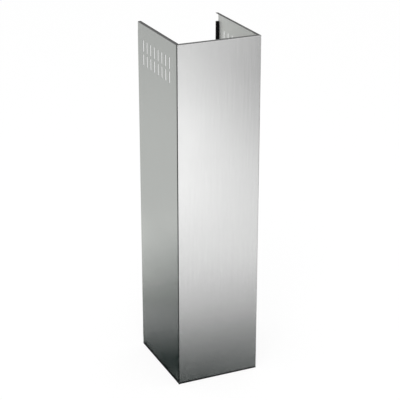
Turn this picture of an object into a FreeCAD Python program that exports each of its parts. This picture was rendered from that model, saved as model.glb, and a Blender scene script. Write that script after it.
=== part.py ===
import FreeCAD, Part
import math
import os
import Sketcher

# Upper chimney section of a cooker hood: one folded steel sheet, open at the back and at both ends,
# with two rows of vent slots in each side and a black guide strip in each rear fold.
# Millimetres, +Z up, origin at the middle of the footprint, front face towards -Y.

# Driving sizes: name, value, meaning
SIZES = (
    ("height", "1000", "overall height"),
    ("width", "245", "outside width, side to side"),
    ("depth", "275", "outside depth, front face to rear edge"),
    ("thickness", "0.8", "steel sheet"),
    ("bend_inside_radius", "1.7", "inside radius of every fold"),
    ("end_fold_width", "9", "inward fold along the top and bottom edges"),
    ("corner_gap", "0.6", "slit on each side of a front corner, and clearance beside a rear fold"),
    ("mitre_gap", "1", "open joint between two mitred end folds"),
    ("return_width", "7.8", "inward fold along each rear edge"),
    ("return_notch", "25", "length of a rear fold cut away at each end"),
    ("slot_width", "5.5", "vent slot across"),
    ("slot_length", "33", "vent slot along"),
    ("slot_pitch", "26.2", "from one slot to the next in a row"),
    ("slot_count", "8", "slots in a row"),
    ("slot_rear_margin", "41", "from the rear face to the middle of the rearmost slots"),
    ("slot_top_margin", "45", "from the top edge to the upper row"),
    ("slot_row_gap", "6", "steel left between the two rows"),
    ("strip_width", "7", "guide strip, inward from the side panel"),
    ("strip_depth", "8.5", "guide strip, forward from the rear fold"),
    ("strip_end_gap", "0.5", "from the end of a rear fold to the end of its strip"),
    ("strip_lead_in", "2.5", "sloped ends of a guide strip"),
    ("strip_edge_radius", "0.8", "rounded long edges of a guide strip"),
    ("strip_seat_gap", "0.05", "adhesive film between a strip and the steel"),
)

# Formulas that several features share, as distances from the origin
OUTSIDE_RADIUS = "(Sizes.bend_inside_radius + Sizes.thickness)"
RELIEF = f"({OUTSIDE_RADIUS} + Sizes.corner_gap)"
SLIT_NEAR = f"({OUTSIDE_RADIUS} + Sizes.corner_gap / 2)"
SLIT_FAR = f"({SLIT_NEAR} + Sizes.corner_gap)"
SIDE = "Sizes.width / 2"
SIDE_INSIDE = "(Sizes.width / 2 - Sizes.thickness)"
REAR = "Sizes.depth / 2"
REAR_INSIDE = "(Sizes.depth / 2 - Sizes.thickness)"
BOTH_SIDES = (-1, 1)

# Point numbers that a sketch uses
SKETCH_ORIGIN = (-1, 1)
START = 1
END = 2
CENTRE = 3

TOLERANCE = 1e-5

doc = FreeCAD.newDocument("CookerHoodChimneySection")
sheet = doc.addObject("Spreadsheet::Sheet", "Sizes")
for row, (alias, value, meaning) in enumerate(SIZES, start=1):
    sheet.set(f"A{row}", alias)
    sheet.set(f"B{row}", value)
    sheet.set(f"C{row}", meaning)
    sheet.setAlias(f"B{row}", alias)
doc.recompute()


def new_body(name, label):
    """A sub-part of its own, at the shared origin."""
    body = doc.addObject("PartDesign::Body", name)
    body.Label = label
    body.Placement = FreeCAD.Placement()
    return body


def origin_plane(body, role):
    """One of the body's own origin planes."""
    return next(item for item in body.Origin.OriginFeatures if item.Role == role)


def new_sketch(body, name, role, level="0"):
    """An empty sketch on an origin plane, lifted along the plane's normal by a formula."""
    sketch = body.newObject("Sketcher::SketchObject", name)
    sketch.AttachmentSupport = [(origin_plane(body, role), "")]
    sketch.MapMode = "FlatFace"
    sketch.setExpression(".AttachmentOffset.Base.z", level)
    return sketch


def hold(sketch, point, across, along):
    """Ties a point of a sketch to the sketch's origin by two signed formulas."""
    place = sketch.getPoint(*point)
    for kind, start, formula in (("DistanceX", place.x, across), ("DistanceY", place.y, along)):
        index = sketch.addConstraint(Sketcher.Constraint(kind, *SKETCH_ORIGIN, *point, start))
        sketch.setExpression(f"Constraints[{index}]", formula)


def outline(sketch, corners):
    """A closed outline of straight lines through corners given as pairs of formulas.

    The lines start on a unit circle, and the formulas then pull every corner to its place.
    """
    count = len(corners)
    first = sketch.GeometryCount
    turn = 2 * math.pi / count
    ring = [FreeCAD.Vector(math.cos(turn * i), math.sin(turn * i), 0) for i in range(count)]
    for i in range(count):
        sketch.addGeometry(Part.LineSegment(ring[i], ring[(i + 1) % count]), False)
    for i, (across, along) in enumerate(corners):
        following = first + (i + 1) % count
        sketch.addConstraint(Sketcher.Constraint("Coincident", first + i, END, following, START))
        hold(sketch, (first + i, START), across, along)


def rectangle(sketch, left, right, front, rear):
    """A closed rectangle between four formulas."""
    outline(sketch, ((left, front), (right, front), (right, rear), (left, rear)))


def obround(sketch, middle, low, high):
    """A closed slot outline with round ends, upright in the sketch, as wide as a vent slot."""
    radius = sheet.slot_width / 2
    reach = sheet.slot_length / 2
    upper = FreeCAD.Vector(0, reach, 0)
    lower = FreeCAD.Vector(0, -reach, 0)
    half = FreeCAD.Vector(radius, 0, 0)
    axis = FreeCAD.Vector(0, 0, 1)
    top = sketch.addGeometry(Part.ArcOfCircle(Part.Circle(upper, axis, radius), 0, math.pi), False)
    left = sketch.addGeometry(Part.LineSegment(upper - half, lower - half), False)
    bottom_arc = Part.ArcOfCircle(Part.Circle(lower, axis, radius), math.pi, 2 * math.pi)
    bottom = sketch.addGeometry(bottom_arc, False)
    right = sketch.addGeometry(Part.LineSegment(lower + half, upper + half), False)
    chain = (top, left, bottom, right)
    for i, item in enumerate(chain):
        following = chain[(i + 1) % len(chain)]
        sketch.addConstraint(Sketcher.Constraint("Tangent", item, END, following, START))
    sketch.addConstraint(Sketcher.Constraint("Equal", top, bottom))
    index = sketch.addConstraint(Sketcher.Constraint("Radius", top, radius))
    sketch.setExpression(f"Constraints[{index}]", "Sizes.slot_width / 2")
    hold(sketch, (top, CENTRE), middle, f"{high} - Sizes.slot_width / 2")
    hold(sketch, (bottom, CENTRE), middle, f"{low} + Sizes.slot_width / 2")


def pad(body, name, sketch, length):
    """Adds a sketch's outline, grown along the sketch's normal by a formula."""
    feature = body.newObject("PartDesign::Pad", name)
    feature.Profile = sketch
    feature.setExpression("Length", length)
    doc.recompute()
    return feature


def pocket(body, name, sketch, length=None, symmetric=False):
    """Cuts a sketch's outline away, down by a formula or through the whole body."""
    before = body.Shape.Volume
    feature = body.newObject("PartDesign::Pocket", name)
    feature.Profile = sketch
    if length is None:
        feature.Type = "ThroughAll"
    else:
        feature.setExpression("Length", length)
    if symmetric:
        feature.SideType = "Symmetric"
    doc.recompute()
    if body.Shape.Volume > before - TOLERANCE:
        raise RuntimeError(f"{name} cut nothing")
    return feature


def edge_names(shape, direction, points, least):
    """Names of the straight edges that run along a direction through any of the points.

    Edges shorter than the least length are passed over.
    """
    names = []
    for number, edge in enumerate(shape.Edges, start=1):
        if not isinstance(edge.Curve, Part.Line):
            continue
        if edge.Curve.Direction.cross(direction).Length > TOLERANCE or edge.Length < least:
            continue
        offsets = [(edge.CenterOfMass - point).cross(direction).Length for point in points]
        if min(offsets) < TOLERANCE:
            names.append(f"Edge{number}")
    return names


def dress(body, kind, name, direction, points, size_property, size, least=0):
    """Fillets or chamfers the straight edges through the points, with a size bound to a formula."""
    base = body.Tip
    names = edge_names(base.Shape, direction, points, least)
    if len(names) < len(points):
        raise RuntimeError(f"{name} found {len(names)} of {len(points)} edges")
    feature = body.newObject(kind, name)
    feature.Base = (base, names)
    feature.setExpression(size_property, size)
    doc.recompute()
    return feature


ALONG_X = FreeCAD.Vector(1, 0, 0)
ALONG_Y = FreeCAD.Vector(0, 1, 0)
ALONG_Z = FreeCAD.Vector(0, 0, 1)


# Folded sheet

sheet_body = new_body("ChimneySheet", "chimney_sheet")

# Section of the sheet seen from above: front, two sides and two short returns along the open back
section = new_sketch(sheet_body, "WallSection", "XY_Plane")
RETURN_END = "(Sizes.width / 2 - Sizes.return_width)"
outline(
    section,
    (
        (f"-{RETURN_END}", REAR),
        (f"-{SIDE}", REAR),
        (f"-{SIDE}", f"-{REAR}"),
        (SIDE, f"-{REAR}"),
        (SIDE, REAR),
        (RETURN_END, REAR),
        (RETURN_END, REAR_INSIDE),
        (SIDE_INSIDE, REAR_INSIDE),
        (SIDE_INSIDE, f"-{REAR_INSIDE}"),
        (f"-{SIDE_INSIDE}", f"-{REAR_INSIDE}"),
        (f"-{SIDE_INSIDE}", REAR_INSIDE),
        (f"-{RETURN_END}", REAR_INSIDE),
    ),
)
pad(sheet_body, "Wall", section, "Sizes.height")


def corner_points(inset):
    """The four vertical corners of the section, moved inwards by an inset."""
    across = sheet.width / 2 - inset
    along = sheet.depth / 2 - inset
    return [FreeCAD.Vector(i * across, j * along, 0) for i in BOTH_SIDES for j in BOTH_SIDES]


FILLET = "PartDesign::Fillet"
CHAMFER = "PartDesign::Chamfer"
inside_corners = corner_points(sheet.thickness)
INSIDE_RADIUS = "Sizes.bend_inside_radius"
dress(sheet_body, FILLET, "VerticalFoldsInside", ALONG_Z, inside_corners, "Radius", INSIDE_RADIUS)
dress(sheet_body, FILLET, "VerticalFoldsOutside", ALONG_Z, corner_points(0), "Radius", OUTSIDE_RADIUS)

# Inward folds along the top and bottom edges, first as square plates against the inside of the wall.
# Each front end stops at the corner slit and is then mitred: inset from its wall, distance from the corner.
MITRE_SHIFT = "Sizes.mitre_gap * sqrt(0.5)"
FOLD_FRONT_END = (
    ("Sizes.thickness", SLIT_FAR),
    (f"({SLIT_FAR} - {MITRE_SHIFT})", SLIT_FAR),
    ("Sizes.end_fold_width", f"(Sizes.end_fold_width + {MITRE_SHIFT})"),
)
FOLD_SIDE = "(Sizes.width / 2 - Sizes.end_fold_width)"
for end, level in (("Bottom", "0"), ("Top", "Sizes.height - Sizes.thickness")):
    plates = new_sketch(sheet_body, f"{end}FoldOutline", "XY_Plane", level)
    front_left = [(f"-({SIDE} - {along})", f"-({REAR} - {inset})") for inset, along in FOLD_FRONT_END]
    front_right = [(f"{SIDE} - {along}", f"-({REAR} - {inset})") for inset, along in FOLD_FRONT_END]
    outline(plates, front_left + front_right[::-1])
    for side in BOTH_SIDES:
        side_front = [
            (f"{side} * ({SIDE} - {inset})", f"-({REAR} - {along})")
            for inset, along in FOLD_FRONT_END
        ]
        side_rear = [(f"{side} * {FOLD_SIDE}", REAR_INSIDE), (f"{side} * {SIDE_INSIDE}", REAR_INSIDE)]
        outline(plates, side_front + side_rear)
    pad(sheet_body, f"{end}Fold", plates, "Sizes.thickness")

# Slits on both sides of the front corners, so that each end fold bends freely beside the standing corner,
# and the rear folds cut back at both ends
BEYOND = "Sizes.corner_gap"
for end, slit_level, notch_level in (
    ("Bottom", SLIT_FAR, "Sizes.return_notch"),
    ("Top", "Sizes.height", "Sizes.height"),
):
    slits = new_sketch(sheet_body, f"{end}SlitOutline", "XY_Plane", slit_level)
    for side in BOTH_SIDES:
        rectangle(
            slits,
            f"{side} * ({SIDE} - {SLIT_NEAR})",
            f"{side} * ({SIDE} - {SLIT_FAR})",
            f"-({REAR} + {BEYOND})",
            f"-({REAR} - Sizes.thickness)",
        )
        rectangle(
            slits,
            f"{side} * ({SIDE} + {BEYOND})",
            f"{side} * {SIDE_INSIDE}",
            f"-({REAR} - {SLIT_NEAR})",
            f"-({REAR} - {SLIT_FAR})",
        )
    pocket(sheet_body, f"{end}Slits", slits, SLIT_FAR)
    notches = new_sketch(sheet_body, f"{end}NotchOutline", "XY_Plane", notch_level)
    rectangle(
        notches,
        f"-({SIDE} + {BEYOND})",
        f"{SIDE} + {BEYOND}",
        f"{REAR} - {RELIEF}",
        f"{REAR} + {BEYOND}",
    )
    pocket(sheet_body, f"{end}Notch", notches, "Sizes.return_notch")


def fold_points(inset):
    """Points on the folded top and bottom edges of the two sides, and then of the front."""
    levels = (inset, sheet.height - inset)
    sides = [FreeCAD.Vector(i * (sheet.width / 2 - inset), 0, z) for i in BOTH_SIDES for z in levels]
    fronts = [FreeCAD.Vector(0, inset - sheet.depth / 2, z) for z in levels]
    return sides, fronts


for place, inset, radius in (
    ("Inside", sheet.thickness, INSIDE_RADIUS),
    ("Outside", 0, OUTSIDE_RADIUS),
):
    side_edges, front_edges = fold_points(inset)
    # The short top edges of a standing corner stay square
    least = sheet.corner_gap
    dress(sheet_body, FILLET, f"SideEndFolds{place}", ALONG_Y, side_edges, "Radius", radius, least)
    dress(sheet_body, FILLET, f"FrontEndFolds{place}", ALONG_X, front_edges, "Radius", radius, least)

# Vent slots near the top, cut through both sides: one column of two, repeated along the depth
column = new_sketch(sheet_body, "SlotColumn", "YZ_Plane")
FIRST_COLUMN = f"{REAR} - Sizes.slot_rear_margin - Sizes.slot_pitch * (Sizes.slot_count - 1)"
UPPER_HIGH = "Sizes.height - Sizes.slot_top_margin"
UPPER_LOW = f"{UPPER_HIGH} - Sizes.slot_length"
LOWER_HIGH = f"{UPPER_LOW} - Sizes.slot_row_gap"
LOWER_LOW = f"{LOWER_HIGH} - Sizes.slot_length"
obround(column, FIRST_COLUMN, UPPER_LOW, UPPER_HIGH)
obround(column, FIRST_COLUMN, LOWER_LOW, LOWER_HIGH)
slot_cut = pocket(sheet_body, "SlotCut", column, symmetric=True)
slot_rows = sheet_body.newObject("PartDesign::LinearPattern", "SlotRows")
slot_rows.Originals = [slot_cut]
slot_rows.Direction = (column, ["H_Axis"])
slot_rows.setExpression("Length", "Sizes.slot_pitch * (Sizes.slot_count - 1)")
slot_rows.setExpression("Occurrences", "Sizes.slot_count")
sheet_body.Tip = slot_rows
doc.recompute()


# Guide strips

STRIP_PANEL = f"({SIDE_INSIDE} - Sizes.strip_seat_gap)"
STRIP_INNER = f"({STRIP_PANEL} - Sizes.strip_width)"
STRIP_REAR = f"({REAR_INSIDE} - Sizes.strip_seat_gap)"
STRIP_FRONT = f"({STRIP_REAR} - Sizes.strip_depth)"
STRIP_FOOT = "Sizes.return_notch + Sizes.strip_end_gap"


def guide_strip(name, label, side):
    """A black strip that fills the corner between a side panel and its rear fold."""
    body = new_body(name, label)
    profile = new_sketch(body, f"{name}Section", "XY_Plane", STRIP_FOOT)
    outline(
        profile,
        (
            (f"{side} * {STRIP_INNER}", STRIP_FRONT),
            (f"{side} * {STRIP_PANEL}", STRIP_FRONT),
            (f"{side} * {STRIP_PANEL}", f"{STRIP_REAR} - Sizes.bend_inside_radius"),
            (f"{side} * ({STRIP_PANEL} - Sizes.bend_inside_radius)", STRIP_REAR),
            (f"{side} * {STRIP_INNER}", STRIP_REAR),
        ),
    )
    pad(body, f"{name}Run", profile, f"Sizes.height - 2 * ({STRIP_FOOT})")
    foot = sheet.return_notch + sheet.strip_end_gap
    panel = sheet.width / 2 - sheet.thickness - sheet.strip_seat_gap
    inner = side * (panel - sheet.strip_width)
    rear = sheet.depth / 2 - sheet.thickness - sheet.strip_seat_gap
    front = rear - sheet.strip_depth
    ends = [FreeCAD.Vector(inner, 0, z) for z in (foot, sheet.height - foot)]
    dress(body, CHAMFER, f"{name}LeadIn", ALONG_Y, ends, "Size", "Sizes.strip_lead_in")
    long_edges = [FreeCAD.Vector(inner, y, 0) for y in (front, rear)]
    dress(body, FILLET, f"{name}Edges", ALONG_Z, long_edges, "Radius", "Sizes.strip_edge_radius")
    return body


strips = [
    guide_strip("LeftGuideStrip", "left_guide_strip", -1),
    guide_strip("RightGuideStrip", "right_guide_strip", 1),
]

doc.recompute()
for item in doc.Objects:
    if "Invalid" in item.State or "Error" in item.State:
        raise RuntimeError(f"{item.Name} failed: {item.State}")

os.makedirs("parts", exist_ok=True)
for body in [sheet_body, *strips]:
    shape = body.Shape
    if shape.isNull() or not shape.isValid():
        raise RuntimeError(f"{body.Label} has no valid shape")
    shape.exportStep(f"parts/{body.Label}.step")
    box = shape.BoundBox
    print(
        f"{body.Label}: {len(shape.Solids)} solid, volume {shape.Volume:.0f} mm3, "
        f"size {box.XLength:.2f} x {box.YLength:.2f} x {box.ZLength:.2f} mm"
    )
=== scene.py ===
# %% [markdown]
# # A cooker hood chimney section in brushed steel
# The upper chimney of a cooker hood is one sheet of stainless steel, folded to a tall box that is
# open at the back and at both ends. The wall closes the back. Two rows of vent slots pierce each
# side near the top, and a black guide strip sits in each rear fold, so that a second section can
# slide inside this one. This lesson makes the sheet the way a workshop makes it: cut flat, folded,
# then punched and deburred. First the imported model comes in. It is the fixed frame, in metres, that
# every piece here has to fit.

# %% Load the frame
import math
import bmesh
import bpy
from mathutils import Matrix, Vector


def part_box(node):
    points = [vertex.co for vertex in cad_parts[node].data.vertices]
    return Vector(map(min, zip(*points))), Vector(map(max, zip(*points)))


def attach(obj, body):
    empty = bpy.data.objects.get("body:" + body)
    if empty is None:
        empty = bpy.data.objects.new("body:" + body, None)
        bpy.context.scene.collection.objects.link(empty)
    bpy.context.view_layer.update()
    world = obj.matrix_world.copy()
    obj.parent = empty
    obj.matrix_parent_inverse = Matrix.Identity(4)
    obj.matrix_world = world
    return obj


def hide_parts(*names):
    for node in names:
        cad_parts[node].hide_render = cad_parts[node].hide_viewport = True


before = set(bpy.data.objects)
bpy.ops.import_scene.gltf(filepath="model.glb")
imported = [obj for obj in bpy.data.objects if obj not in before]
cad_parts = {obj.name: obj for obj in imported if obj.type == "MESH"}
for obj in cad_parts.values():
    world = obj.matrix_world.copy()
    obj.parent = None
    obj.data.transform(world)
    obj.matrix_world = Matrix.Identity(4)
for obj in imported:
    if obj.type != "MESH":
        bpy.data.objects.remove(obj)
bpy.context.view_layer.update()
MM = 0.001


def in_mm(values):
    """Metres as a short list of millimetres, for printing."""
    return [round(value / MM, 2) for value in values]


# %% [markdown]
# ## The sizes of the sheet
# The outside of the box is read from the frame, so the new sheet can't drift away from it. The few
# sizes that a box can't tell are written here once: the gauge of the steel, the radius of the folds
# and the widths of the narrow folds. A fold is measured to the sharp corner that its two faces
# would make.

# %% Read the sheet's sizes
sheet_low, sheet_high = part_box("chimney_sheet")
side_x = sheet_high.x
front_y = sheet_low.y
rear_y = sheet_high.y
foot_z = sheet_low.z
top_z = sheet_high.z
depth = rear_y - front_y
height = top_z - foot_z

steel_gauge = 0.8 * MM
fold_radius = 2.5 * MM
end_fold_width = 9 * MM
rear_fold_width = 7.8 * MM
slit_near = 2.8 * MM
slit_far = 3.4 * MM
rear_clearance = 3.1 * MM
rear_notch = 25 * MM
SIDES = (-1, 1)
QUARTER_TURN = math.pi / 2
print("sheet, mm:", in_mm((2 * side_x, depth, height)), "gauge", steel_gauge / MM)

# %% [markdown]
# ## The flat blank
# A folded sheet could be built as a box with a wall thickness, but then the grain would have to be
# matched by hand on every face. Here the blank is a flat plane first, standing where the front
# panel will be, with the sides, the rear folds and the end folds still spread out around it. While
# it is flat it gets its UV map, in metres: the map stays glued to the steel when it folds, so the
# brushing runs round every corner.

# %% Lay out the blank
rear_line = side_x + depth
blank_reach = rear_line + rear_fold_width
blank_height = height + 2 * end_fold_width
MAP_UNIT = 1.0

bpy.ops.object.select_all(action="DESELECT")
bpy.ops.mesh.primitive_plane_add(
    size=1,
    location=(0, front_y, (foot_z + top_z) / 2),
    rotation=(QUARTER_TURN, 0, 0),
)
sheet = bpy.context.object
sheet.name = "folded_sheet"
sheet.scale = (2 * blank_reach, blank_height, 1)
bpy.ops.object.transform_apply(location=True, rotation=True, scale=True)

bpy.ops.object.mode_set(mode="EDIT")
bpy.ops.mesh.select_all(action="SELECT")
bpy.ops.uv.cube_project(cube_size=MAP_UNIT, correct_aspect=False)
bpy.ops.object.mode_set(mode="OBJECT")
blank_map = sheet.data.uv_layers[0]
blank_map.name = "blank"
across_map = [corner.uv.x for corner in blank_map.data]
map_width = max(across_map) - min(across_map)
print("blank, mm:", in_mm((2 * blank_reach, blank_height)), "map width, mm:", in_mm([map_width]))

# %% [markdown]
# ## Slits and notches
# Where two folds meet, a workshop slits the steel first, or it would tear: a short slit on each
# side of a corner lets the end folds bend while the corner stays standing. Bisect draws the lines
# for that right across the blank, and the little fields between them are picked by their middle and
# deleted. Selecting by place keeps the steps the same if a size changes, which face numbers
# wouldn't.

# %% Cut the slits and notches


def pick(piece, kind, test):
    """Selects the vertices, edges or faces whose middle passes a test, and counts them."""
    bpy.ops.mesh.select_mode(type=kind)
    bpy.ops.mesh.select_all(action="DESELECT")
    mesh = bmesh.from_edit_mesh(piece.data)
    items = {"VERT": mesh.verts, "EDGE": mesh.edges, "FACE": mesh.faces}[kind]
    found = 0
    for item in items:
        corners = [item] if kind == "VERT" else item.verts
        middle = sum((corner.co for corner in corners), Vector()) / len(corners)
        if test(middle):
            item.select_set(True)
            found += 1
    mesh.select_flush_mode()
    bmesh.update_edit_mesh(piece.data)
    return found


def near_an_end(point, reach):
    """True within a reach of the top or bottom edge."""
    return point.z < foot_z + reach or point.z > top_z - reach


def draw_line(place, across):
    """Cuts an edge line through the whole blank."""
    bpy.ops.mesh.select_all(action="SELECT")
    bpy.ops.mesh.bisect(plane_co=place, plane_no=across)


bpy.ops.object.mode_set(mode="EDIT")
for side in SIDES:
    for from_corner in (-slit_far, -slit_near, 0, slit_near, slit_far):
        draw_line((side * (side_x + from_corner), front_y, 0), (1, 0, 0))
    for x in (rear_line - rear_clearance, rear_line):
        draw_line((side * x, front_y, 0), (1, 0, 0))
for inset in (0, slit_far, rear_notch):
    for z in (foot_z + inset, top_z - inset):
        draw_line((0, front_y, z), (0, 0, 1))


def in_corner_slit(point):
    from_corner = abs(abs(point.x) - side_x)
    return slit_near < from_corner < slit_far and near_an_end(point, slit_far)


def between_end_folds(point):
    return abs(abs(point.x) - side_x) < slit_near and near_an_end(point, 0)


def in_rear_notch(point):
    return abs(point.x) > rear_line - rear_clearance and near_an_end(point, rear_notch)


for waste in (in_corner_slit, between_end_folds, in_rear_notch):
    print(waste.__name__, "fields:", pick(sheet, "FACE", waste))
    bpy.ops.mesh.delete(type="FACE")

# %% [markdown]
# ## Folding
# Now the press brake: everything beyond a fold line turns by a quarter about that line. The narrow
# folds go first, while the blank is flat, and the two sides last, as in the workshop. With no
# window open the rotate operator turns the other way and needs to be told its centre, so each fold
# names its own line.

# %% Fold the blank
ON_THE_LINE = 0.001 * MM


def fold(beyond, axis, line, turn):
    """Turns all that lies beyond a fold line, which runs along an axis through a point."""
    moved = pick(sheet, "VERT", beyond)
    bpy.ops.transform.rotate(
        value=turn,
        orient_axis=axis,
        orient_type="GLOBAL",
        center_override=line,
    )
    print("folded about", axis, in_mm(line), "corners moved:", moved)


fold(lambda point: point.z > top_z - ON_THE_LINE, "X", (0, front_y, top_z), QUARTER_TURN)
fold(lambda point: point.z < foot_z + ON_THE_LINE, "X", (0, front_y, foot_z), -QUARTER_TURN)
for line_x in (rear_line, side_x):
    for side in SIDES:
        fold(
            lambda point: side * point.x > line_x - ON_THE_LINE,
            "Z",
            (side * line_x, front_y, 0),
            -side * QUARTER_TURN,
        )

# %% [markdown]
# ## Round folds
# Folded steel is never sharp. The lines that only helped with cutting are dissolved, so each panel
# is one face again, and every remaining fold is bevelled to its outside radius. Many segments keep
# the narrow highlight along the near corner unbroken. The end folds then get their open mitre by a
# slanting bisect.

# %% Round the folds and mitre the corners
FOLD_SEGMENTS = 10
ROUND_PROFILE = 0.5
FOLD_ANGLE = math.radians(60)
FLAT_ANGLE = math.radians(2)
mitre_gap = 1 * MM

bpy.ops.mesh.select_all(action="SELECT")
bpy.ops.mesh.dissolve_limited(angle_limit=FLAT_ANGLE)
bpy.ops.mesh.select_mode(type="EDGE")
bpy.ops.mesh.select_all(action="DESELECT")
bpy.ops.mesh.edges_select_sharp(sharpness=FOLD_ANGLE)
bpy.ops.mesh.bevel(
    offset=fold_radius,
    offset_type="OFFSET",
    segments=FOLD_SEGMENTS,
    profile=ROUND_PROFILE,
    affect="EDGES",
    clamp_overlap=False,
)


def trim(fold_faces, place, towards):
    """Cuts off the part of the picked end folds that lies beyond a plane."""
    pick(sheet, "FACE", fold_faces)
    bpy.ops.mesh.bisect(plane_co=place, plane_no=towards, clear_outer=True)


def on_front_end_fold(point):
    return near_an_end(point, fold_radius) and abs(point.x) < side_x / 2


for side in SIDES:
    corner = Vector((side * side_x, front_y, 0))
    diagonal = Vector((side, 1, 0)).normalized()
    trim(on_front_end_fold, corner - diagonal * mitre_gap / 2, diagonal)
    trim(
        lambda point: near_an_end(point, fold_radius) and side * point.x > side_x / 2,
        corner + diagonal * mitre_gap / 2,
        -diagonal,
    )
bpy.ops.object.mode_set(mode="OBJECT")
print("folded skin:", len(sheet.data.polygons), "faces")

# %% [markdown]
# ## Gauge and finishes
# Solidify gives the skin its gauge, inwards, so that the outside stays where the frame has it.
# Brushed sheet is only brushed on its good face: the back keeps the dull finish of the rolling
# mill, and the sheared edge is different again. So the sheet gets three finishes, and Solidify
# hands them out by index.

# %% Give the sheet its gauge
brushed_steel = bpy.data.materials.new("brushed_steel")
mill_back = bpy.data.materials.new("mill_back")
sheared_edge_painted_shade = bpy.data.materials.new("sheared_edge_painted_shade")
sheet_finishes = (brushed_steel, mill_back, sheared_edge_painted_shade)
for finish in sheet_finishes:
    sheet.data.materials.append(finish)


def apply_modifier(piece, name, kind, **settings):
    """Adds a modifier with its settings and applies it at once."""
    modifier = piece.modifiers.new(name, kind)
    for setting, value in settings.items():
        setattr(modifier, setting, value)
    bpy.context.view_layer.objects.active = piece
    bpy.ops.object.modifier_apply(modifier=name)


apply_modifier(
    sheet,
    "gauge",
    "SOLIDIFY",
    thickness=steel_gauge,
    offset=-1,
    use_even_offset=True,
    material_offset=sheet_finishes.index(mill_back),
    material_offset_rim=sheet_finishes.index(sheared_edge_painted_shade),
)
print("sheet with its gauge:", len(sheet.data.polygons), "faces")

# %% [markdown]
# ## Vent slots
# A punch cuts the slots: it is a cylinder, long enough to pass both sides, whose upper half is
# pulled up until the round hole has become a slot. Thirty sides leave no vertex halfway up, so the
# straight flanks stay parallel. Two arrays repeat it, and one exact Boolean cuts all the slots and
# edges them as sheared.

# %% Punch the slots
slot_width = 5.5 * MM
slot_length = 33 * MM
slot_pitch = 26.2 * MM
slot_count = 8
slot_rear_margin = 41 * MM
slot_top_margin = 45 * MM
slot_row_gap = 6 * MM
slot_rows = 2
PUNCH_SIDES = 30
PUNCH_OVERSHOOT = 10 * MM

slot_radius = slot_width / 2
row_step = slot_length + slot_row_gap
first_slot_y = rear_y - slot_rear_margin - slot_pitch * (slot_count - 1)
low_centre_z = top_z - slot_top_margin - slot_length - row_step + slot_radius

bpy.ops.object.select_all(action="DESELECT")
bpy.ops.mesh.primitive_cylinder_add(
    vertices=PUNCH_SIDES,
    radius=slot_radius,
    depth=2 * (side_x + PUNCH_OVERSHOOT),
    location=(0, first_slot_y, low_centre_z),
    rotation=(QUARTER_TURN, 0, QUARTER_TURN),
)
punch = bpy.context.object
punch.name = "slot_punch"
bpy.ops.object.transform_apply(location=True, rotation=True, scale=True)
bpy.ops.object.mode_set(mode="EDIT")
pick(punch, "VERT", lambda point: point.z > low_centre_z)
bpy.ops.transform.translate(value=(0, 0, slot_length - slot_width))
bpy.ops.object.mode_set(mode="OBJECT")
punch.data.materials.append(sheared_edge_painted_shade)

for name, count, step in (
    ("along the depth", slot_count, (0, slot_pitch, 0)),
    ("upwards", slot_rows, (0, 0, row_step)),
):
    apply_modifier(
        punch,
        name,
        "ARRAY",
        count=count,
        use_relative_offset=False,
        use_constant_offset=True,
        constant_offset_displace=step,
    )
apply_modifier(
    sheet,
    "slots",
    "BOOLEAN",
    operation="DIFFERENCE",
    solver="EXACT",
    material_mode="TRANSFER",
    object=punch,
)
bpy.data.objects.remove(punch, do_unlink=True)
print("slots per side:", slot_count * slot_rows, "sheet faces:", len(sheet.data.polygons))

# %% [markdown]
# ## Deburring and shading
# A sheared edge is broken with a file, by about a tenth of a millimetre. The same small bevel lets
# light catch the rims here. Smooth shading alone would bend the light on the big flat panels,
# because a corner of a panel would share its normal with the fold beside it. Weighted normals let
# the largest face decide.

# %% Deburr and shade the sheet
deburr_width = 0.1 * MM
DEBURR_SEGMENTS = 2
DEBURR_ANGLE = math.radians(50)
SMOOTH_ANGLE = math.radians(35)
LARGEST_FACE_DECIDES = 100


def deburr_and_shade(piece, width, segments):
    """Breaks every sharp edge by a small bevel, and shades all smooth but keeps flat faces flat."""
    apply_modifier(
        piece,
        "deburr",
        "BEVEL",
        width=width,
        segments=segments,
        limit_method="ANGLE",
        angle_limit=DEBURR_ANGLE,
    )
    bpy.ops.object.select_all(action="DESELECT")
    piece.select_set(True)
    bpy.context.view_layer.objects.active = piece
    bpy.ops.object.shade_smooth_by_angle(angle=SMOOTH_ANGLE)
    apply_modifier(
        piece,
        "flat faces",
        "WEIGHTED_NORMAL",
        mode="FACE_AREA",
        weight=LARGEST_FACE_DECIDES,
        keep_sharp=True,
    )


def measure(piece):
    """Prints the piece's volume and whether its surface is closed."""
    mesh = bmesh.new()
    mesh.from_mesh(piece.data)
    open_edges = sum(not edge.is_manifold for edge in mesh.edges)
    volume = round(mesh.calc_volume() / MM**3)
    print(piece.name, "faces:", len(mesh.faces), "open edges:", open_edges, "mm3:", volume)
    mesh.free()


deburr_and_shade(sheet, deburr_width, DEBURR_SEGMENTS)
measure(sheet)
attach(sheet, "root")
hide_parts("chimney_sheet")

# %% [markdown]
# ## Guide strips
# A guide strip is a length of black plastic in the corner between a side panel and its rear fold.
# It has sloped ends, so that the inner section finds its way in, a bevelled back to clear the fold,
# and rounded long edges. Spinning or extruding a section would do as well, but a cube at the
# strip's size already has every edge in its place, so each group of edges is picked and bevelled,
# and the ends are cut by bisect.

# %% Model the right guide strip
strip_fold_relief = 1.7 * MM
strip_lead_in = 2.5 * MM
strip_edge_radius = 0.8 * MM
STRIP_RELIEF_SEGMENTS = 1
STRIP_EDGE_SEGMENTS = 5


def same(first, second):
    """True where two lengths agree to a thousandth of a millimetre."""
    return abs(first - second) < ON_THE_LINE


def bevel_edges(piece, test, width, segments):
    """Bevels the edges whose middle passes a test, and counts them."""
    found = pick(piece, "EDGE", test)
    bpy.ops.mesh.bevel(
        offset=width,
        offset_type="OFFSET",
        segments=segments,
        affect="EDGES",
        clamp_overlap=False,
    )
    return found


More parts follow.
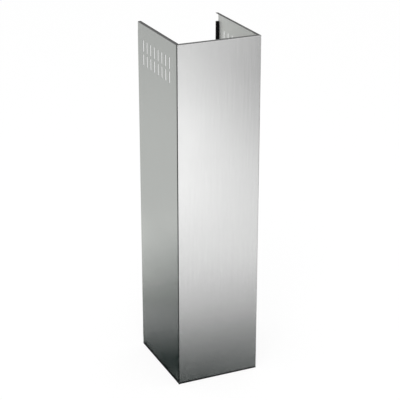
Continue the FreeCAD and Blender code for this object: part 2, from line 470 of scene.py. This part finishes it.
low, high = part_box("right_guide_strip")
bpy.ops.object.select_all(action="DESELECT")
bpy.ops.mesh.primitive_cube_add(size=1, location=(low + high) / 2)
right_strip = bpy.context.object
right_strip.name = "right_guide_strip_moulding"
right_strip.scale = high - low
bpy.ops.object.transform_apply(location=True, rotation=True, scale=True)

bpy.ops.object.mode_set(mode="EDIT")
relieved = bevel_edges(
    right_strip,
    lambda point: same(point.x, high.x) and same(point.y, high.y),
    strip_fold_relief,
    STRIP_RELIEF_SEGMENTS,
)
rounded = bevel_edges(
    right_strip,
    lambda point: same(point.x, low.x) and (same(point.y, low.y) or same(point.y, high.y)),
    strip_edge_radius,
    STRIP_EDGE_SEGMENTS,
)
for end, end_z in ((-1, low.z), (1, high.z)):
    bpy.ops.mesh.select_all(action="SELECT")
    bpy.ops.mesh.bisect(
        plane_co=(low.x + strip_lead_in, low.y, end_z),
        plane_no=Vector((-1, 0, end)).normalized(),
        use_fill=True,
        clear_outer=True,
    )
bpy.ops.object.mode_set(mode="OBJECT")
print("right strip, mm:", in_mm(high - low), "edges relieved:", relieved, "rounded:", rounded)

# %% [markdown]
# ## The strip on the other side
# The left strip is the mirror image of the right one, so it is a copy with its own mesh, mirrored
# through the middle of the object by a scale of minus one. Mirroring turns a shape inside out, and
# the normals are recalculated to point outwards again. Only then do both strips get their deburred
# edges and shading.

# %% Mirror the strip
strip_deburr = 0.15 * MM

bpy.ops.object.select_all(action="DESELECT")
right_strip.select_set(True)
bpy.context.view_layer.objects.active = right_strip
bpy.ops.object.duplicate(linked=False)
left_strip = bpy.context.object
left_strip.name = "left_guide_strip_moulding"
left_strip.scale.x = -1
bpy.ops.object.transform_apply(location=True, rotation=True, scale=True)
bpy.ops.object.mode_set(mode="EDIT")
bpy.ops.mesh.select_all(action="SELECT")
bpy.ops.mesh.normals_make_consistent(inside=False)
bpy.ops.object.mode_set(mode="OBJECT")

strips = {"left_guide_strip": left_strip, "right_guide_strip": right_strip}
for node, strip in strips.items():
    deburr_and_shade(strip, strip_deburr, DEBURR_SEGMENTS)
    measure(strip)
    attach(strip, "root")
    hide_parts(node)

# %% [markdown]
# ## Hairlines
# Brushed steel is covered with short parallel scratches. A noise texture that is squeezed across
# and drawn out along the grain gives them, at two scales: single hairlines and the broader bands
# that a belt leaves. A picture of scratches would repeat, and would blur close up. Several finishes
# need the scratches, so they are a node group with its own inputs. It puts out values only, and the
# shader stays in each material.

# %% Build the hairline group


def new_group(name, inputs, outputs):
    """An empty shader node group with named float or vector sockets."""
    group = bpy.data.node_groups.new(name, "ShaderNodeTree")
    for direction, sockets in (("INPUT", inputs), ("OUTPUT", outputs)):
        for socket_name, kind in sockets:
            group.interface.new_socket(socket_name, in_out=direction, socket_type=kind)
    return group


def add_node(tree, kind, **settings):
    """A new node with some of its settings, and with sockets set by number or name from a dict."""
    node = tree.nodes.new(kind)
    for socket, value in settings.pop("values", {}).items():
        node.inputs[socket].default_value = value
    for setting, value in settings.items():
        setattr(node, setting, value)
    return node


FLOAT = "NodeSocketFloat"
VECTOR = "NodeSocketVector"
BAND_WIDTH = 11
BAND_RUN = 5
HAIRLINE_LOW = 0.3
HAIRLINE_HIGH = 0.7

hairlines = new_group(
    "hairlines",
    (("Position", VECTOR), ("Lines per metre", FLOAT), ("Runs per metre", FLOAT)),
    (("Hairline", FLOAT), ("Band", FLOAT)),
)
source = add_node(hairlines, "NodeGroupInput")
stretch = add_node(hairlines, "ShaderNodeCombineXYZ")
stretched = add_node(hairlines, "ShaderNodeVectorMath", operation="MULTIPLY")
fine = add_node(
    hairlines,
    "ShaderNodeTexNoise",
    values={"Scale": 1, "Detail": 4, "Roughness": 0.65},
)
widened = add_node(
    hairlines,
    "ShaderNodeVectorMath",
    operation="DIVIDE",
    values={1: (BAND_WIDTH, BAND_RUN, 1)},
)
broad = add_node(
    hairlines,
    "ShaderNodeTexNoise",
    values={"Scale": 1, "Detail": 3, "Roughness": 0.5},
)
sharpen = add_node(
    hairlines,
    "ShaderNodeMapRange",
    values={"From Min": HAIRLINE_LOW, "From Max": HAIRLINE_HIGH},
)
result = add_node(hairlines, "NodeGroupOutput")
hairlines.links.new(source.outputs["Lines per metre"], stretch.inputs["X"])
hairlines.links.new(source.outputs["Runs per metre"], stretch.inputs["Y"])
hairlines.links.new(source.outputs["Position"], stretched.inputs[0])
hairlines.links.new(stretch.outputs["Vector"], stretched.inputs[1])
hairlines.links.new(stretched.outputs["Vector"], fine.inputs["Vector"])
hairlines.links.new(stretched.outputs["Vector"], widened.inputs[0])
hairlines.links.new(widened.outputs["Vector"], broad.inputs["Vector"])
hairlines.links.new(fine.outputs["Fac"], sharpen.inputs["Value"])
hairlines.links.new(sharpen.outputs["Result"], result.inputs["Hairline"])
hairlines.links.new(broad.outputs["Fac"], result.inputs["Band"])
print("node group:", hairlines.name)

# %% [markdown]
# ## Handling clouds
# No surface is quite even: rolling, wiping and handling leave soft clouds in the way it scatters
# light. A coarser noise with a little distortion gives them, and a smooth step between two levels
# parts the clouds from the clear patches. As a group of its own it can have another scale on each
# finish.

# %% Build the cloud group
CLEAR_LEVEL = 0.3
CLOUDED_LEVEL = 0.7

clouds = new_group(
    "handling_clouds",
    (("Position", VECTOR), ("Clouds per metre", FLOAT)),
    (("Cloud", FLOAT),),
)
source = add_node(clouds, "NodeGroupInput")
drift = add_node(
    clouds,
    "ShaderNodeTexNoise",
    values={"Detail": 5, "Roughness": 0.6, "Distortion": 0.4},
)
soften = add_node(
    clouds,
    "ShaderNodeMapRange",
    interpolation_type="SMOOTHSTEP",
    values={"From Min": CLEAR_LEVEL, "From Max": CLOUDED_LEVEL},
)
result = add_node(clouds, "NodeGroupOutput")
clouds.links.new(source.outputs["Position"], drift.inputs["Vector"])
clouds.links.new(source.outputs["Clouds per metre"], drift.inputs["Scale"])
clouds.links.new(drift.outputs["Fac"], soften.inputs["Value"])
clouds.links.new(soften.outputs["Result"], result.inputs["Cloud"])
print("node group:", clouds.name)

# %% [markdown]
# ## One recipe for four finishes
# Steel and plastic differ in numbers more than in kind, so one function mixes them all. Hairlines
# and bands together shift the colour between a dark and a light tone, bands and clouds shift the
# roughness between two values, and the hairlines alone raise a shallow bump. What is the same all
# over, such as how strongly the brushing draws out a reflection, is set straight on the shader.

# %% Write the recipe
BAND_SHARE_OF_COLOUR = 0.5
CLOUD_SHARE_OF_ROUGHNESS = 0.4


def surface_masks(tree, coordinate, grain, cloud_scale):
    """Hairlines, bands and clouds, laid out by a UV map or by the object's own axes."""
    if coordinate == "Object":
        place = add_node(tree, "ShaderNodeTexCoord").outputs["Object"]
    else:
        place = add_node(tree, "ShaderNodeUVMap", uv_map=coordinate).outputs["UV"]
    lines = add_node(tree, "ShaderNodeGroup", node_tree=hairlines)
    lines.inputs["Lines per metre"].default_value = grain[0]
    lines.inputs["Runs per metre"].default_value = grain[1]
    cloud = add_node(tree, "ShaderNodeGroup", node_tree=clouds)
    cloud.inputs["Clouds per metre"].default_value = cloud_scale
    for group in (lines, cloud):
        tree.links.new(place, group.inputs["Position"])
    return lines.outputs["Hairline"], lines.outputs["Band"], cloud.outputs["Cloud"]


def mixed(tree, first, second, share):
    """Two values mixed, with the share that the second one has."""
    mix = add_node(tree, "ShaderNodeMix", data_type="FLOAT", values={"Factor": share})
    tree.links.new(first, mix.inputs["A"])
    tree.links.new(second, mix.inputs["B"])
    return mix.outputs["Result"]


def mix_finish(material, coordinate, grain, cloud_scale, dark, light, roughness, bump, fixed):
    """Fills a material with the shared recipe."""
    material.use_nodes = True
    tree = material.node_tree
    shader = tree.nodes["Principled BSDF"]
    hairline, band, cloud = surface_masks(tree, coordinate, grain, cloud_scale)
    colour = add_node(tree, "ShaderNodeMix", data_type="RGBA")
    colour.inputs["A"].default_value = (*dark, 1)
    colour.inputs["B"].default_value = (*light, 1)
    tree.links.new(mixed(tree, hairline, band, BAND_SHARE_OF_COLOUR), colour.inputs["Factor"])
    tree.links.new(colour.outputs["Result"], shader.inputs["Base Color"])
    rough = add_node(tree, "ShaderNodeMapRange")
    rough.inputs["To Min"].default_value = roughness[0]
    rough.inputs["To Max"].default_value = roughness[1]
    tree.links.new(mixed(tree, band, cloud, CLOUD_SHARE_OF_ROUGHNESS), rough.inputs["Value"])
    tree.links.new(rough.outputs["Result"], shader.inputs["Roughness"])
    relief = add_node(tree, "ShaderNodeBump")
    relief.inputs["Strength"].default_value = bump[0]
    relief.inputs["Distance"].default_value = bump[1]
    tree.links.new(hairline, relief.inputs["Height"])
    tree.links.new(relief.outputs["Normal"], shader.inputs["Normal"])
    for socket, value in fixed.items():
        shader.inputs[socket].default_value = value
    print("finish:", material.name, "roughness", roughness)


# %% [markdown]
# ## Steel and plastic
# The good face has fine, long hairlines and a strong anisotropy, which draws reflections out
# sideways, across the upright brushing. The mill back is duller, with faint roll marks. The sheared
# edge is coarse and dull, and its near-black colour is painted shade for the slot walls and rims. The
# black plastic is matt and shows its extrusion lines. The steel reads the map of the flat blank, so
# that its grain follows the folds.

# %% Mix the finishes
mix_finish(
    brushed_steel,
    coordinate="blank",
    grain=(2600, 22),
    cloud_scale=7,
    dark=(0.635, 0.636, 0.634),
    light=(0.746, 0.748, 0.745),
    roughness=(0.2, 0.28),
    bump=(0.08, 0.05 * MM),
    fixed={"Metallic": 1, "Anisotropic": 0.75},
)
mix_finish(
    mill_back,
    coordinate="blank",
    grain=(700, 9),
    cloud_scale=12,
    dark=(0.72, 0.725, 0.71),
    light=(0.82, 0.825, 0.81),
    roughness=(0.46, 0.58),
    bump=(0.05, 0.05 * MM),
    fixed={"Metallic": 1, "Anisotropic": 0.25},
)
# The sheared edge is coarse and dull, and its near-black colour is painted shade for the slot walls
# and rims.
mix_finish(
    sheared_edge_painted_shade,
    coordinate="Object",
    grain=(2200, 900),
    cloud_scale=90,
    dark=(0.03, 0.03, 0.029),
    light=(0.12, 0.12, 0.117),
    roughness=(0.5, 0.7),
    bump=(0.3, 0.04 * MM),
    fixed={"Metallic": 1},
)
black_plastic = bpy.data.materials.new("black_plastic")
mix_finish(
    black_plastic,
    coordinate="Object",
    grain=(1800, 1800),
    cloud_scale=40,
    dark=(0.002, 0.002, 0.0022),
    light=(0.006, 0.006, 0.0064),
    roughness=(0.6, 0.8),
    bump=(0.15, 0.05 * MM),
    fixed={"Specular IOR Level": 0.1},
)
for strip in strips.values():
    strip.data.materials.append(black_plastic)

# %% [markdown]
# ## The camera
# The view is from the left front and a little above, with a long lens, so the upright edges stay
# nearly parallel. The camera is placed by where it aims and from which side, which is easier to
# read and to change than a position and three angles.

# %% Place the camera
aim = Vector((0.005, 0, 0.4976))
camera_azimuth = math.radians(24.11)
camera_elevation = math.radians(21.91)
camera_distance = 3.817
SENSOR_WIDTH = 36
camera_lens = 120.8

scene = bpy.context.scene
scene.view_settings.view_transform = "Standard"
level = math.cos(camera_elevation)
looking = Vector(
    (
        level * math.sin(camera_azimuth),
        level * math.cos(camera_azimuth),
        -math.sin(camera_elevation),
    )
)
camera_data = bpy.data.cameras.new("photo_view")
camera_data.sensor_width = SENSOR_WIDTH
camera_data.lens = camera_lens
camera = bpy.data.objects.new("photo_view", camera_data)
camera.location = aim - camera_distance * looking
camera.rotation_euler = looking.to_track_quat("-Z", "Y").to_euler()
scene.collection.objects.link(camera)
scene.camera = camera
print("camera at", [round(value, 3) for value in camera.location])

# %% [markdown]
# ## A white floor
# A matt floor under a lamp is never quite white in the picture. This one is a mix: to the camera
# and to reflections most of it glows at a strength of one, and the rest stays an ordinary matt
# surface, so that it keeps the soft shadow under the object. The light that bounces off it is that
# of a matt floor only.

# %% Build the floor
FLOOR_SIZE = 60
floor_grey = 0.95
floor_roughness = 0.9
floor_glow = 0.8


def seen_directly(tree):
    """A mask that is one for camera, mirror and see-through rays, and zero for bounced light."""
    path = add_node(tree, "ShaderNodeLightPath")
    mask = path.outputs["Is Camera Ray"]
    for ray in ("Is Glossy Ray", "Is Transmission Ray"):
        either = add_node(tree, "ShaderNodeMath", operation="MAXIMUM")
        tree.links.new(mask, either.inputs[0])
        tree.links.new(path.outputs[ray], either.inputs[1])
        mask = either.outputs["Value"]
    return mask


bpy.ops.object.select_all(action="DESELECT")
bpy.ops.mesh.primitive_plane_add(size=FLOOR_SIZE, location=(0, 0, foot_z))
floor = bpy.context.object
floor.name = "floor"
floor_paint = bpy.data.materials.new("floor_paint")
floor_paint.use_nodes = True
tree = floor_paint.node_tree
matt = tree.nodes["Principled BSDF"]
matt.inputs["Base Color"].default_value = (floor_grey, floor_grey, floor_grey, 1)
matt.inputs["Roughness"].default_value = floor_roughness
matt.inputs["Specular IOR Level"].default_value = 0
glow = add_node(tree, "ShaderNodeEmission")
share = add_node(tree, "ShaderNodeMath", operation="MULTIPLY", values={1: floor_glow})
blend = add_node(tree, "ShaderNodeMixShader")
tree.links.new(seen_directly(tree), share.inputs[0])
tree.links.new(share.outputs["Value"], blend.inputs["Fac"])
tree.links.new(matt.outputs["BSDF"], blend.inputs[1])
tree.links.new(glow.outputs["Emission"], blend.inputs[2])
tree.links.new(blend.outputs["Shader"], tree.nodes["Material Output"].inputs["Surface"])
floor.data.materials.append(floor_paint)
print("floor:", FLOOR_SIZE, "m, glow", floor_glow)

# %% [markdown]
# ## World and lamp
# An even white world is the soft tent that a product photographer builds round shiny things. It
# would leave no shadow at all, so one large area lamp from the upper left gives the light a
# direction. Its size is what makes the shadow soft: a smaller lamp of the same power would draw a
# hard one.

# %% Light the stage
world_strength = 1.0
key_place = Vector((-1.4, -2.4, 3.6))
key_size = 2
key_watts = 45

studio = bpy.data.worlds.new("studio")
studio.use_nodes = True
scene.world = studio
around = studio.node_tree.nodes["Background"]
around.inputs["Color"].default_value = (1, 1, 1, 1)
around.inputs["Strength"].default_value = world_strength

key_data = bpy.data.lights.new("key_lamp", "AREA")
key_data.size = key_size
key_data.energy = key_watts
key_lamp = bpy.data.objects.new("key_lamp", key_data)
key_lamp.location = key_place
key_lamp.rotation_euler = (aim - key_place).to_track_quat("-Z", "Y").to_euler()
scene.collection.objects.link(key_lamp)
print("lamp:", key_lamp.name, key_watts, "W")

# %% [markdown]
# ## Cards for the steel to mirror
# Brushed metal has hardly any colour of its own: it looks like what stands around it. A
# photographer puts dark and grey cards just out of the picture, and their reflections give the
# panels their long gradients. A card here is an oval plane with an even glow, so no lamp can change
# it, and it fades out towards its edge. Only mirror rays see it: the camera, the shadows and the
# bounced light pass it by.

# %% Make a card that fades out
# A plane of this size has its rim at one on its own axes, where the fade ends
CARD_SPAN = 2


def only_for_mirrors(piece):
    """Hides a stage piece from all rays but mirror rays."""
    piece.visible_camera = False
    piece.visible_diffuse = False
    piece.visible_transmission = False
    piece.visible_volume_scatter = False
    piece.visible_shadow = False


def paint_even(piece, colour):
    """An even glow that no lamp can change. Returns the node tree and the glow in it."""
    paint = bpy.data.materials.new(piece.name)
    paint.use_nodes = True
    tree = paint.node_tree
    tree.nodes.remove(tree.nodes["Principled BSDF"])
    tone = add_node(tree, "ShaderNodeEmission", values={"Color": (*colour, 1)})
    tree.links.new(tone.outputs["Emission"], tree.nodes["Material Output"].inputs["Surface"])
    piece.data.materials.append(paint)
    return tree, tone


def fade_out(tree, tone, core, strength):
    """Lets a glow fade from its core, a share of the radius, to nothing at the rim of an oval."""
    across = add_node(tree, "ShaderNodeTexCoord")
    reach = add_node(tree, "ShaderNodeVectorMath", operation="LENGTH")
    fade = add_node(tree, "ShaderNodeMapRange", values={"From Min": core, "From Max": 1})
    fade.inputs["To Min"].default_value = strength
    fade.inputs["To Max"].default_value = 0
    clear = add_node(tree, "ShaderNodeBsdfTransparent")
    blend = add_node(tree, "ShaderNodeMixShader")
    tree.links.new(across.outputs["Object"], reach.inputs[0])
    tree.links.new(reach.outputs["Value"], fade.inputs["Value"])
    tree.links.new(fade.outputs["Result"], blend.inputs["Fac"])
    tree.links.new(clear.outputs["BSDF"], blend.inputs[1])
    tree.links.new(tone.outputs["Emission"], blend.inputs[2])
    tree.links.new(blend.outputs["Shader"], tree.nodes["Material Output"].inputs["Surface"])


def card(name, place, tilt, size, colour, core, strength):
    """An oval card at a place, lying flat or tilted about X, that only reflections see."""
    bpy.ops.object.select_all(action="DESELECT")
    bpy.ops.mesh.primitive_plane_add(size=CARD_SPAN, location=place, rotation=(tilt, 0, 0))
    plane = bpy.context.object
    plane.name = name
    plane.scale = (size[0] / CARD_SPAN, size[1] / CARD_SPAN, 1)
    tree, tone = paint_even(plane, colour)
    fade_out(tree, tone, core, strength)
    only_for_mirrors(plane)
    print("card:", name, "colour", [round(value, 3) for value in colour])


# %% [markdown]
# ## Mats on the floor
# The camera looks down on the panels, so what they mirror is mostly floor: the front panel sees the
# floor before it, and the left side sees the floor to the left and behind. Dark mats near the foot
# are painted shade: the steel mirrors them as shaded floor, and they make the dark lower third. A
# bright card in front is a painted highlight that makes the light band above it, and grey sheets
# further out bring the tops down again. A pale sheet at the left front keeps the left side from
# going black when it is seen from elsewhere. The dark mats of painted shade are tinted green, and
# most of the pale and grey sheets a little, which the shades of the steel pick up. Each mat lies a
# hair above the one before it, so the order decides what covers what.

# %% Lay the mats
MAT_LIFT = 0.06 * MM
LYING = 0
NEUTRAL = Vector((1, 1, 1))
# Tints of painted reflections: the paper tint goes on pale and grey cards, the felt tint on the dark
# cards of painted shade
PAINTED_REFLECTION_TINT = Vector((0.97, 1, 0.965))
PAINTED_SHADE_TINT = Vector((0.5, 1, 0.87))

# Name, middle and size in metres, colour, solid share of the radius, strength
mats = (
    ("front_right_sheet", (2.15, -1.25), (4.7, 5.9), 0.18 * NEUTRAL, 0.4, 0.98),
    # Painted highlight: a glowing card brighter than white, for the light band on the front panel
    ("front_painted_highlight", (0.45, -2.4), (2.6, 4.0), 1.57 * NEUTRAL, 0.35, 0.95),
    ("rear_left_sheet", (-1.45, 2.85), (4.6, 6.2), 0.64 * PAINTED_REFLECTION_TINT, 0.95, 0.95),
    ("far_left_sheet", (-2.2, 3.55), (2.8, 5.2), 0.25 * PAINTED_REFLECTION_TINT, 0.1, 0.4),
    # Painted shade: these three dark cards stand for the shade on the floor near the foot, as the
    # steel mirrors it
    ("wide_painted_shade", (-0.18, -0.01), (1.92, 1.1), 0.08 * PAINTED_SHADE_TINT, 0.0, 0.92),
    ("foot_painted_shade", (-0.19, -0.04), (2.94, 1.7), 0.004 * PAINTED_SHADE_TINT, 0.0, 0.78),
    ("side_painted_shade", (-0.63, 0.5), (0.7, 0.88), 0.06 * PAINTED_SHADE_TINT, 0.3, 0.44),
    ("side_glow", (-0.35, 0.9), (0.6, 0.85), 1.05 * PAINTED_REFLECTION_TINT, 0.1, 0.4),
    ("left_front_sheet", (-0.6, -0.35), (0.9, 0.8), 0.8 * PAINTED_REFLECTION_TINT, 0.2, 0.95),
)
for layer, (name, middle, size, colour, core, strength) in enumerate(mats, start=1):
    card(name, (*middle, foot_z + layer * MAT_LIFT), LYING, size, colour, core, strength)

# %% [markdown]
# ## Flags in the air
# A flag is a card that stands or hangs. One stands to the right of the camera and darkens that side
# of the front panel, one stands far behind, where the inside of the sheet finds it, and one hangs
# overhead for the folds along the top. In an all-white room those folds would vanish against the
# background.

# %% Put up the flags
STANDING = QUARTER_TURN

# Name, middle in metres, tilt, size in metres, colour, solid share of the radius, strength
flags = (
    ("right_flag", (0.65, -1.0, 0.6), STANDING, (0.85, 1.35), 0.35 * NEUTRAL, 0.2, 0.65),
    ("rear_flag", (0.0, 3.2, 2.0), STANDING, (12, 3), 0.13 * NEUTRAL, 0.7, 1.0),
    ("ceiling_flag", (0.0, 0.0, 2.8), LYING, (8, 8), 0.32 * NEUTRAL, 0.5, 1.0),
)
for flag in flags:
    card(*flag)

# %% [markdown]
# ## Dark lines at the folds
# A fold is a narrow round mirror: in a few millimetres of steel it shows everything from the left
# round to the front. A dark card, bent close round the near corner, paints a dark reflection there,
# one fine dark line. A dark card under the object paints a contact shadow into the folds along the
# foot in the same way. Both are again only mirrored.

# %% Bend a screen round the near corner
SCREEN_SIDES = 144
screen_radius = 15 * MM
screen_height = 1.1
screen_bearings = (128, 275)
# The near-black colour of the bent card, seen only in the steel, paints a dark reflection line on the
# corner fold
painted_corner_line_colour = 0.01 * NEUTRAL
foot_margin = 8 * MM
# The near-black colour of the card under the object paints a contact shadow into the folds at the
# foot
painted_contact_shadow_colour = 0.004 * NEUTRAL


def off_the_screen(point):
    """True outside the two bearings, in degrees, that the bent card of painted dark reflection
    reaches to.
    """
    bearing = math.degrees(math.atan2(point.y, point.x)) % 360
    return not screen_bearings[0] < bearing < screen_bearings[1]


bpy.ops.object.select_all(action="DESELECT")
bpy.ops.mesh.primitive_cylinder_add(
    vertices=SCREEN_SIDES,
    radius=screen_radius,
    depth=screen_height,
    end_fill_type="NOTHING",
    location=(-side_x, front_y, foot_z + screen_height / 2),
)
screen = bpy.context.object
screen.name = "painted_corner_line"
bpy.ops.object.mode_set(mode="EDIT")
pick(screen, "FACE", off_the_screen)
bpy.ops.mesh.delete(type="FACE")
bpy.ops.object.mode_set(mode="OBJECT")
# Painted dark reflection: the bent card glows near black, for the line on the corner fold
paint_even(screen, painted_corner_line_colour)
only_for_mirrors(screen)

bpy.ops.object.select_all(action="DESELECT")
bpy.ops.mesh.primitive_plane_add(size=1, location=(0, 0, foot_z + (len(mats) + 1) * MAT_LIFT))
painted_contact_shadow = bpy.context.object
painted_contact_shadow.name = "painted_contact_shadow"
painted_contact_shadow.scale = (2 * (side_x + foot_margin), depth + 2 * foot_margin, 1)
# Painted contact shadow: a near-black card under the foot, seen only in the steel
paint_even(painted_contact_shadow, painted_contact_shadow_colour)
only_for_mirrors(painted_contact_shadow)
print("dark lines by:", screen.name, painted_contact_shadow.name)
